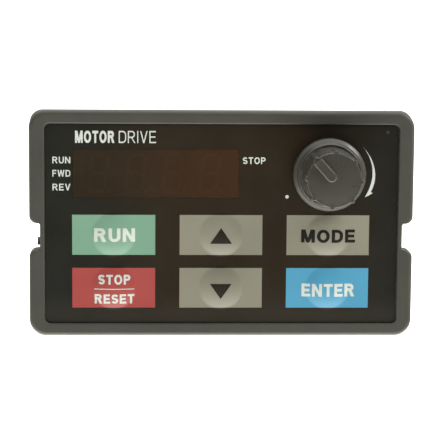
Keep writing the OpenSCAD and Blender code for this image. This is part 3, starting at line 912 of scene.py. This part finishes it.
def overlay():
    """The printed sheet around the keys, window and knob, with its coloured rectangles."""
    window_play = 0.03
    knob_hole_r = 4.0
    centre = middle("display_window")
    smaller = 2 * (WINDOW_LIP - window_play)
    outer = closed_outline(OVERLAY_W, OVERLAY_H, OVERLAY_R, [])
    holes = [
        rectangle(centre.x, centre.z, WINDOW_W - smaller, WINDOW_H - smaller),
        circle(KNOB_X, KNOB_Z, knob_hole_r, ROUND_STEPS),
    ]
    holes += [circle(*KEY_CENTRES[key], PAD_R, PAD_STEPS) for key in KEYS]
    patches = {key: rectangle(*KEY_CENTRES[key], KEY_W, KEY_H) for key in KEYS}
    slots = sorted(set(KEYS.values()))

    def material_number(x, z):
        if not contains(outer, x, z) or any(contains(hole, x, z) for hole in holes):
            return None
        for key, patch in patches.items():
            if contains(patch, x, z):
                return 1 + slots.index(KEYS[key])
        return 0

    bm = bmesh.new()
    fill(bm, [outer] + holes + list(patches.values()), material_number, tolerance=1e-7)
    sheet(bm, lambda x, z: FACE_Y, lambda x, z: FLOOR_Y)
    obj = make_object("overlay", bm, [MATERIALS["overlay_film"]] + [MATERIALS[s] for s in slots])
    shade(obj, weighted=False)
    place(obj, "housing", "overlay_film", "overlay_sheet")


def bend_with_key(obj):
    """Bakes the piece's placement into its mesh."""
    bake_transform(obj)


def key_pad(key):
    """One embossed key: a disc of the film with its dome, coloured inside the printed rectangle."""
    kx, kz = KEY_CENTRES[key]
    bm = bmesh.new()
    rings = [circle(kx, kz, PAD_R * (i + 1) / PAD_RINGS, PAD_STEPS) for i in range(PAD_RINGS)]
    rows = [[bm.verts.new((x, 0, z)) for x, z in ring] for ring in rings]
    centre = bm.verts.new((kx, 0, kz))
    for i in range(PAD_STEPS):
        j = (i + 1) % PAD_STEPS
        bm.faces.new((centre, rows[0][i], rows[0][j]))
        for near, far in zip(rows, rows[1:]):
            bm.faces.new((near[i], far[i], far[j], near[j]))
    for side in (-1, 1):
        split(bm, (0, 0, kz + side * KEY_H / 2), (0, 0, 1))
    for face in bm.faces:
        beyond = abs(face.calc_center_median().z - kz) > KEY_H / 2
        face.material_index = 1 if beyond else 0
    sheet(bm, on_face(0.0), on_face(FACE_Y - FLOOR_Y))
    obj = make_object(key + "_pad", bm, [MATERIALS[KEYS[key]], MATERIALS["overlay_film"]])
    shade(obj, weighted=False)
    bend_with_key(obj)
    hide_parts(key + "_key")


def print_mesh(bm):
    """Cuts a flat print into small faces, so that it can follow a dome, and gives it its thickness."""
    pitch = 0.4
    bmesh.ops.remove_doubles(bm, verts=bm.verts[:], dist=0.002)
    for normal in ((1, 0, 0), (0, 0, 1)):
        places = [v.co.dot(Vector(normal)) for v in bm.verts]
        low = min(places)
        for i in range(int((max(places) - low) / pitch)):
            split(bm, [n * (low + (i + 0.5) * pitch) for n in normal], normal)
    bmesh.ops.triangulate(bm, faces=bm.faces[:])
    sheet(bm, on_face(INK), on_face(-INK_SINK))


def stroke(path, width):
    """The outline of a line of constant width along a path of (x, y) points."""
    sharpest = 0.35  # keeps the outer corner of a sharp bend from reaching too far
    path = [p for i, p in enumerate(path) if i == 0 or math.dist(p, path[i - 1]) > 1e-6]
    sides = ([], [])
    for i, (x, y) in enumerate(path):
        ahead = path[min(i + 1, len(path) - 1)]
        behind = path[max(i - 1, 0)]
        into = Vector((x - behind[0], y - behind[1])).normalized()
        onward = Vector((ahead[0] - x, ahead[1] - y)).normalized()
        along = (into + onward).normalized()
        normal = Vector((-along.y, along.x))
        reach = width / 2 / max(sharpest, along.dot(onward if i == 0 else into))
        sides[0].append((x + normal.x * reach, y + normal.y * reach))
        sides[1].append((x - normal.x * reach, y - normal.y * reach))
    return sides[0] + sides[1][::-1]


def letter_shapes(letter, w):
    """A sans-serif capital of height 1 and stroke width w: its outlines and its width.
    The outlines may overlap."""
    h = w / 2
    low_bar = 0.42

    def post(x):
        return stroke([(x, 0), (x, 1)], w)

    def mirrored(shape, width):
        return [(width - x, y) for x, y in shape]

    def bowl(bottom, reach):
        """The closed curve at the right of D, P and R, from the given height to the top."""
        r = (1 - bottom - w) / 2
        turn = min(r, 0.3)
        right = reach - h
        return stroke(
            [(h, 1 - h)] + arc(right - turn, 1 - h - turn, turn, 90, 0, 6)
            + arc(right - turn, bottom + h + turn, turn, 0, -90, 6) + [(h, bottom + h)], w)

    def bars(reach, heights):
        return [stroke([(h, y), (x, y)], w) for x, y in zip(reach, heights)]

    stem = post(h)
    if letter == "D":
        return [stem, bowl(0, 0.74)], 0.74
    if letter == "E":
        return [stem] + bars((0.64, 0.6, 0.66), (1 - h, 0.5, h)), 0.66
    if letter == "F":
        return [stem] + bars((0.62, 0.56), (1 - h, 0.5)), 0.62
    if letter == "I":
        return [stem], w
    if letter == "M":
        arm = [(0, 1), (w * 1.25, 1), (0.44 + h * 0.9, 0), (0.44 - h * 0.9, 0)]
        return [stem, post(0.88 - h), arm, mirrored(arm, 0.88)], 0.88
    if letter == "N":
        slope = [(0, 1), (w * 1.05, 1), (0.76, 0), (0.76 - w * 1.05, 0)]
        return [stem, post(0.76 - h), slope], 0.76
    if letter == "O":
        ring = [(0.41 + (0.41 - h) * math.cos(a), 0.5 + (0.51 - h) * math.sin(a))
                for a in (math.radians(10 * i) for i in range(-9, 28))]
        return [stroke(ring[:19], w), stroke(ring[18:], w)], 0.82
    if letter == "P":
        return [stem, bowl(low_bar - 0.04, 0.68)], 0.68
    if letter == "R":
        leg = [(0.3, low_bar + h), (0.3 + w * 1.1, low_bar + h), (0.76, 0), (0.76 - w * 1.2, 0)]
        return [stem, bowl(low_bar, 0.7), leg], 0.76
    if letter == "S":
        r = (1 - w) / 4
        reach = 0.34 - h
        top = [(0.34 + reach * math.cos(a), 1 - h - r + r * math.sin(a))
               for a in (math.radians(18 + 18 * i) for i in range(14))]
        low = [(0.68 - x, 1 - y) for x, y in reversed(top)]
        return [stroke(top + low, w)], 0.68
    if letter == "T":
        return [stroke([(0, 1 - h), (0.68, 1 - h)], w), post(0.34)], 0.68
    if letter == "U":
        r = 0.37 - h
        bottom = arc(0.37, r + h, r, 180, 360, 10)
        return [stroke([(h, 1)] + bottom + [(0.74 - h, 1)], w)], 0.74
    if letter == "V":
        arm = [(0, 1), (w * 1.08, 1), (0.38 + h, 0), (0.38 - h, 0)]
        return [arm, mirrored(arm, 0.76)], 0.76
    if letter == "W":
        arm = [(0, 1), (w, 1), (0.28 + h, 0), (0.28 - h, 0)]
        inner = [(0.53 - h, 1), (0.53 + h, 1), (0.28 + h, 0), (0.28 - h, 0)]
        return [arm, inner, mirrored(arm, 1.06), mirrored(inner, 1.06)], 1.06
    raise ValueError(letter)


def word_faces(bm, word, x, z, width, cap, weight=0.22, gap=0.13):
    """Adds a word in capitals as flat faces, centred at (x, z), with that width and cap height.
    The strokes' weight and the gap between letters are shares of the cap height."""
    outlines = []
    pen = 0.0
    for letter in word:
        shapes, advance = letter_shapes(letter, weight)
        outlines += [[(px + pen, py) for px, py in shape] for shape in shapes]
        pen += advance + gap
    length = pen - gap
    outlines = [
        [(x + (px - length / 2) * width / length, z + (py - 0.5) * cap) for px, py in shape]
        for shape in outlines
    ]
    fill(bm, outlines, lambda x, z: 0 if any(contains(line, x, z) for line in outlines) else None)


def polygon_face(bm, outline):
    bm.faces.new([bm.verts.new((x, 0, z)) for x, z in outline])


def draw_words(bm, key):
    x, z = KEY_CENTRES[key]
    for word, right, up, width, cap in KEY_WORDS[key]:
        word_faces(bm, word, x + right, z + up, width, cap)


def draw_stop_reset(bm, key):
    """Two words with a thin line between them."""
    x, z = KEY_CENTRES[key]
    line_l = 7.6
    line_t = 0.16
    draw_words(bm, key)
    polygon_face(bm, rectangle(x + 0.1, z - 0.2, line_l, line_t))


def draw_triangle(bm, key):
    """An upward triangle for a positive height, a downward one for a negative height."""
    x, z = KEY_CENTRES[key]
    half_w, base, height = KEY_TRIANGLES[key]
    z += base
    polygon_face(bm, [(x - half_w, z), (x + half_w, z), (x, z + height)])


def printed(name, material, draw):
    """A print on the face. draw(bm) adds its flat faces."""
    bm = bmesh.new()
    draw(bm)
    print_mesh(bm)
    obj = make_object(name, bm, [material])
    shade(obj, weighted=False)
    return obj


def key_legend(key, material, draw):
    """A print on one key, lying on its dome. draw(bm, key) adds its flat faces."""
    obj = printed(key + "_legend", material, lambda bm: draw(bm, key))
    bend_with_key(obj)


def flat_print(name, material, draw):
    place(printed(name, material, draw), "housing", "overlay_film")


def draw_title(bm):
    """The generic title: one bold word and one light one."""
    z = 16.55
    cap = 2.3
    word_faces(bm, "MOTOR", -24.0, z, width=7.4, cap=cap)
    word_faces(bm, "DRIVE", -16.0, z, width=7.0, cap=cap, weight=0.11, gap=0.17)


def draw_status(bm):
    """The words beside the indicator lamps: three at the display's left and one at its right."""
    cap = 1.27
    top_z = 12.15
    for word, z in (("RUN", top_z), ("FWD", 9.64), ("REV", 7.03)):
        word_faces(bm, word, -30.28, z, width=3.38, cap=cap, weight=0.17, gap=0.16)
    word_faces(bm, "STOP", 6.05, top_z, width=4.3, cap=cap, weight=0.18, gap=0.16)


def draw_bump_highlight(bm):
    """A tiny grey dot in the upper right corner of the printed face: a painted highlight in place of a
    tiny bump under the film.
    """
    polygon_face(bm, circle(overlay_high.x - 2.1, overlay_high.z - 1.35, 0.32, 20))


def around_knob(angle, r):
    """The point in this direction, in degrees, at this distance from the knob's axis."""
    turn = math.radians(angle)
    return KNOB_X + r * math.cos(turn), KNOB_Z + r * math.sin(turn)


def draw_speed_marks(bm):
    """A dot at the slow end of the knob's travel and a crescent arrow towards the fast end."""
    dot_r = 0.34
    dot_centre = around_knob(209.3, 9.0)
    tail_angle = 40
    neck_angle = -23.4
    tip_angle = -33
    inner_r = 8.22
    barb_r = 9.2
    bulge = 0.1
    thickness = 0.58
    steps = 28
    polygon_face(bm, circle(*dot_centre, dot_r, 24))
    inner = []
    outer = []
    for i in range(steps + 1):
        t = i / steps
        angle = tail_angle + (neck_angle - tail_angle) * t
        r = inner_r + bulge * math.sin(math.pi * t)
        inner.append(around_knob(angle, r))
        outer.append(around_knob(angle, r + thickness * math.sin(math.pi * 0.6 * t) ** 1.7))
    for i in range(steps):
        strip = [inner[i], inner[i + 1], outer[i + 1], outer[i]]
        polygon_face(bm, strip if i else strip[:3])
    tip = around_knob(tip_angle, inner_r + bulge / 2)
    polygon_face(bm, [inner[-1], tip, around_knob(neck_angle, barb_r), outer[-1]])


def window():
    """The smoked window: a bevelled pane in the film's opening, on a wider plate behind it."""
    centre = middle("display_window")
    plate_y = FLOOR_Y + 0.02
    bevel = 0.04
    pane = [(WINDOW_LIP + bevel, FACE_Y), (WINDOW_LIP, FACE_Y + bevel), (WINDOW_LIP, plate_y)]
    plate = [(0.0, plate_y), (0.0, window_high.y)]
    sections = [
        (rectangle(centre.x, centre.z, WINDOW_W - 2 * inset, WINDOW_H - 2 * inset), y)
        for inset, y in pane + plate
    ]
    obj = lofted("window", sections, [MATERIALS["window_tint"]])
    shade(obj)
    place(obj, "housing", "window_tint", "display_window")


def snap_spring(key):
    """The thin spring dome that a key's plunger rests on and flattens."""
    x, z = KEY_CENTRES[key]
    thickness = 0.1
    play = 0.02
    tip_share = 0.03  # a tiny flat at the dome's middle, as share of its radius
    rim_y = box("snap_domes")[1].y
    rim_r = min(x for x, z in KEY_CENTRES.values()) - box("snap_domes")[0].x
    height = rim_y - box(key + "_plunger")[1].y - play
    steps = [tip_share + (1 - tip_share) * i / 12 for i in range(13)]

    def skin(r, h):
        return [(r * t, rim_y - h * (1 - t * t)) for t in steps]

    bm = bmesh.new()
    turned(bm, x, z, skin(rim_r, height) + skin(rim_r - thickness, height - thickness)[::-1])
    obj = make_object(key + "_spring", bm, [MATERIALS["nickel_steel"]])
    shade(obj)
    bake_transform(obj)
    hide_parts("snap_domes")


def keys_and_prints():
    for key in KEYS:
        key_pad(key)
        snap_spring(key)
    key_legend("run", INK_WHITE, draw_words)
    key_legend("stop_reset", INK_WHITE, draw_stop_reset)
    key_legend("up", INK_BROWN, draw_triangle)
    key_legend("down", INK_BROWN, draw_triangle)
    key_legend("mode", INK_BLACK, draw_words)
    key_legend("enter", INK_WHITE, draw_words)
    flat_print("title_print", INK_WHITE, draw_title)
    flat_print("status_print", INK_WHITE, draw_status)
    flat_print("speed_print", INK_WHITE, draw_speed_marks)
    # Painted highlight of a tiny bump under the film.
    flat_print("bump_highlight_print", BUMP_HIGHLIGHT_INK, draw_bump_highlight)


# ---- Knob ----

def knob_angles():
    """Directions around the knob in degrees, closer together across each rib."""
    rib_half = 7.5
    fine = [rib_half * (i - 10) / 10 for i in range(21)]
    coarse = [rib_half + (RIB_PITCH - 2 * rib_half) * i / 7 for i in range(1, 7)]
    return [POINTER_ANGLE + k * RIB_PITCH + a for k in range(RIBS) for a in fine + coarse]


def rib_radius(angle):
    """Where a rib's surface stands in this direction, or 0 between ribs."""
    off = math.radians((angle - POINTER_ANGLE + RIB_PITCH / 2) % RIB_PITCH - RIB_PITCH / 2)
    reach = RIB_R ** 2 - (GRIP_R * math.sin(off)) ** 2
    return GRIP_R * math.cos(off) + math.sqrt(reach) if reach > 0 else 0.0


def soft_max(a, b, blend):
    """The larger of two values, with a fillet where they come within blend of each other."""
    h = max(blend - abs(a - b), 0.0) / blend
    return max(a, b) + h * h * blend / 4


def knob_ring(radius, depth, ribs=False, inset=0.0):
    """A section of the knob, depth millimetres in front of its base, moved in by inset."""
    fillet = 0.12
    outline = []
    for angle in knob_angles():
        r = soft_max(radius, rib_radius(angle), fillet) if ribs else radius
        outline.append(around_knob(angle, r - inset))
    return outline, KNOB_BASE_Y - depth


def bore_ring(depth):
    """The bore's section: round, with a flat a quarter turn clockwise of the pointer."""
    outline = []
    for angle in knob_angles():
        toward_flat = math.cos(math.radians(angle - POINTER_ANGLE + 90))
        r = min(SHAFT_R, SHAFT_FLAT / toward_flat) if toward_flat > 0.1 else SHAFT_R
        outline.append(around_knob(angle, r))
    return outline, KNOB_BASE_Y - depth


def skirt_profile():
    """The skirt's (radius, depth) from the knob's base up to the foot of the grip."""
    foot = [(SKIRT_R - 0.15, 0.0), (SKIRT_R - 0.04, 0.05), (SKIRT_R, 0.16)]
    chamfer = [(SKIRT_R, 1.5), (SKIRT_R - 0.03, 1.62), (SKIRT_R - 0.1, 1.73), (SKIRT_R - 0.57, 2.13)]
    cone = [(CONE_R + 0.38, 2.22), (CONE_R + 0.1, CONE_L - 0.1)]
    lip = [
        (CONE_R + 0.02, CONE_L - 0.02),
        (CONE_R - 0.08, CONE_L),
        (CONE_R - 0.18, CONE_L - 0.03),
        (CONE_R - 0.25, CONE_L - 0.1),
    ]
    return foot + chamfer + cone + lip + [(GRIP_BASE_R, CONE_L - 0.16)]


def knob_sections():
    """The knob's skin, from the end of its bore out under the skirt and up to the middle of its cap."""
    hollow_r = 3.9
    hollow_l = 1.4
    shaft_play = 0.3
    bore_l = KNOB_BASE_Y - box("pot_shaft")[0].y + shaft_play
    sections = [bore_ring(bore_l), bore_ring(hollow_l)]
    sections += [knob_ring(hollow_r, hollow_l), knob_ring(hollow_r, 0.0)]
    sections += [knob_ring(r, depth) for r, depth in skirt_profile()]
    grip_start = CONE_L - 0.1
    grip_end = KNOB_L - CAP_ROUND
    for i in range(9):
        t = i / 8
        depth = grip_start + (grip_end - grip_start) * t
        sections.append(knob_ring(GRIP_BASE_R + (GRIP_R - GRIP_BASE_R) * t, depth, ribs=i > 0))
    for sine, cosine in quarter(5)[1:]:
        depth = grip_end + (CAP_ROUND - CAP_CROWN) * sine
        sections.append(knob_ring(GRIP_R, depth, True, CAP_ROUND * (1 - cosine)))
    for share in (0.92, 0.8, 0.6, 0.4, 0.2, 0.05):
        r = (GRIP_R - CAP_ROUND) * share
        sections.append(knob_ring(r, KNOB_L - CAP_CROWN * share ** 2))
    return sections


def pointer_sections():
    """The raised pointer: round at the knob's centre, square at the cap's edge."""
    half_w = 0.85
    bevel = 0.2
    length = GRIP_R - CAP_ROUND
    turn = math.radians(POINTER_ANGLE)
    cosine = math.cos(turn)
    sine = math.sin(turn)

    def outline(inset):
        r = half_w - inset
        shape = arc(half_w, 0, r, 90, 270, 16) + [(length - inset, -r), (length - inset, r)]
        return [(KNOB_X + u * cosine - v * sine, KNOB_Z + u * sine + v * cosine) for u, v in shape]

    side = [(0.0, -0.3), (0.0, POINTER_H - bevel)]
    edge = [(0.03, POINTER_H - 0.07), (bevel / 2, POINTER_H - 0.02), (bevel, POINTER_H)]
    return [(outline(inset), KNOB_BASE_Y - KNOB_L - rise) for inset, rise in side + edge]


def knob():
    obj = lofted("knob_body", knob_sections())
    combine(obj, lofted("pointer", pointer_sections()), "UNION")
    finish_moulding(obj, "knob", "knob_plastic", "speed_knob", angle=40)


# ---- Floor, light and camera ----

TABLE_LIGHT = 4.4  # brightness of the table under the keypad


def floor():
    """A plain pale table top at the keypad's lower edge. Its light on the keypad comes from world()."""
    half_side = 3000
    nodes = Nodes("floor")
    nodes.set(
        base_color=srgb(246, 246, 244),
        roughness=0.7,
        emission_color=srgb(255, 255, 255),
        emission_strength=0.85,
    )
    bm = bmesh.new()
    bmesh.ops.create_grid(bm, x_segments=1, y_segments=1, size=half_side)
    obj = make_object("floor", bm, [nodes.material])
    obj.location.z = cad_bounds[0][2]
    for ray in ("diffuse", "glossy", "transmission", "shadow"):
        setattr(obj, "visible_" + ray, False)


def world():
    """White to the camera. To the keypad: a bright table below, a lit room behind and a dim front."""
    studio = bpy.data.worlds.new("studio")
    bpy.context.scene.world = studio
    studio.use_nodes = True
    tree = Tree(studio.node_tree)
    direction = tree.add("SeparateXYZ", {0: tree.add("TexCoord").outputs["Generated"]})
    table = tree.remap(direction.outputs["Z"], -0.22, -0.85, 0.0, TABLE_LIGHT)
    room = tree.remap(direction.outputs["Y"], -0.75, 0.3, 0.04, 0.75)
    ceiling = tree.remap(direction.outputs["Z"], 0.4, 0.95, 0.0, 1.3)
    light = tree.maths("ADD", tree.maths("ADD", table, room), ceiling)
    to_camera = tree.add("LightPath").outputs["Is Camera Ray"]
    to_keypad = tree.maths("SUBTRACT", 1.0, to_camera)
    backdrop = tree.maths("MULTIPLY", to_camera, 1.1)
    strength = tree.maths("ADD", tree.maths("MULTIPLY", to_keypad, light), backdrop)
    background = tree.add("Background", {"Color": (1.0, 0.985, 0.95, 1.0), "Strength": strength})
    tree.add("OutputWorld", {"Surface": background.outputs[0]})


def area_light(name, place_mm, size_mm, power, colour):
    """A rectangular lamp of this width and height that faces the origin."""
    data = bpy.data.lights.new(name, "AREA")
    data.shape = "RECTANGLE"
    data.size, data.size_y = (s * MM for s in size_mm)
    data.energy = power
    data.color = colour
    lamp = add_object(name, data)
    lamp.location = Vector(place_mm) * MM
    lamp.rotation_euler = (-lamp.location).to_track_quat("-Z", "Y").to_euler()


def lights():
    area_light("key", (330, -300, 300), (220, 220), 0.06, (1.0, 0.98, 0.94))
    area_light("fill", (-380, -420, 40), (300, 260), 0.1, (0.95, 0.98, 1.0))
    area_light("side", (330, -90, 270), (210, 180), 1.5, (1.0, 0.99, 0.96))


def camera():
    """A view of the face, a little from above and from the left."""
    azimuth = math.radians(-2.34)
    elevation = math.radians(7.92)
    roll = math.radians(0.44)
    target = Vector((0.05, -3.5, 0.44)) * MM
    distance = 350 * MM
    turn = Matrix.Rotation(azimuth, 4, "Z")
    turn @= Matrix.Rotation(math.pi / 2 - elevation, 4, "X")
    turn @= Matrix.Rotation(roll, 4, "Z")
    data = bpy.data.cameras.new("camera")
    data.lens = 149.7
    data.clip_start = 0.01
    obj = add_object("camera", data)
    obj.matrix_world = Matrix.Translation(target) @ turn @ Matrix.Translation((0, 0, distance))
    bpy.context.scene.camera = obj


dress_cad_nodes()
front_shell()
rear_shell()
overlay()
window()
keys_and_prints()
knob()
floor()
world()
lights()
camera()
bpy.context.scene.view_settings.view_transform = "Standard"
